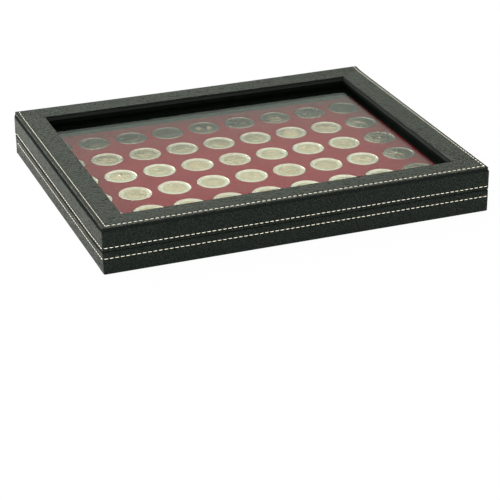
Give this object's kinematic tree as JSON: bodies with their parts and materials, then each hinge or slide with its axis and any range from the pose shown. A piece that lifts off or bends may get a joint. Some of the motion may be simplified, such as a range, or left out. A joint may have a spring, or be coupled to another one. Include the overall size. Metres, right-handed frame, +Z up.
{
  "type": "coin display case",
  "caption": "Flat rectangular leatherette display case with a glazed hinged lid and a lift-out flocked tray of round coin recesses.",
  "frame": {"origin": "middle of the closed case's footprint, on the surface that it rests on", "axes": "+X to the right along the front, +Y from the front to the hinged back, +Z up out of the window"},
  "size_m": [0.3084, 0.246, 0.036],
  "materials": {
    "black_leatherette": "fine pebbled grain, semi-matte",
    "grey_board": "raw fibreboard",
    "black_lining": "matte black lining cloth",
    "black_felt": "matte felt",
    "dark_red_velour": "flocked velour",
    "clear_glass": "clear float glass",
    "plated_steel": "bright plated"
  },
  "bodies": {
    "base": {"base_bottom_sheet": "black_felt", "base_floor_board": "grey_board", "base_wall_front": "grey_board", "base_wall_back": "grey_board", "base_wall_left": "grey_board", "base_wall_right": "grey_board", "base_lining_front": "black_lining", "base_lining_back": "black_lining", "base_lining_left": "black_lining", "base_lining_right": "black_lining", "base_side_cover": "black_leatherette", "base_back_cover": "black_leatherette", "base_hinge_tape": "black_lining", "tray_pad": "black_felt", "base_magnet_left": "plated_steel", "base_magnet_right": "plated_steel"},
    "tray": {"coin_tray": "dark_red_velour"},
    "lid": {"lid_top_cover": "black_leatherette", "lid_top_board": "black_lining", "window_bar_front": "black_lining", "window_bar_back": "black_lining", "window_bar_left": "black_lining", "window_bar_right": "black_lining", "glass_pane": "clear_glass", "lid_wall_front": "grey_board", "lid_wall_back": "grey_board", "lid_wall_left": "grey_board", "lid_wall_right": "grey_board", "lid_lining_front": "black_lining", "lid_lining_back": "black_lining", "lid_lining_left": "black_lining", "lid_lining_right": "black_lining", "lid_side_cover": "black_leatherette", "lid_back_cover": "black_leatherette", "lid_hinge_tape": "black_lining", "lid_strike_plate_left": "plated_steel", "lid_strike_plate_right": "plated_steel"}
  },
  "joints": [
    {"name": "lid_hinge", "type": "hinge", "parent": "base", "child": "lid", "pos_m": [0, 0.1233, 0.0181], "axis": [-1, 0, 0], "range_deg": [0, 180]},
    {"name": "tray_lift", "type": "slide", "parent": "base", "child": "tray", "axis": [0, 0, 1], "range_m": [0, 0.015]}
  ]
}
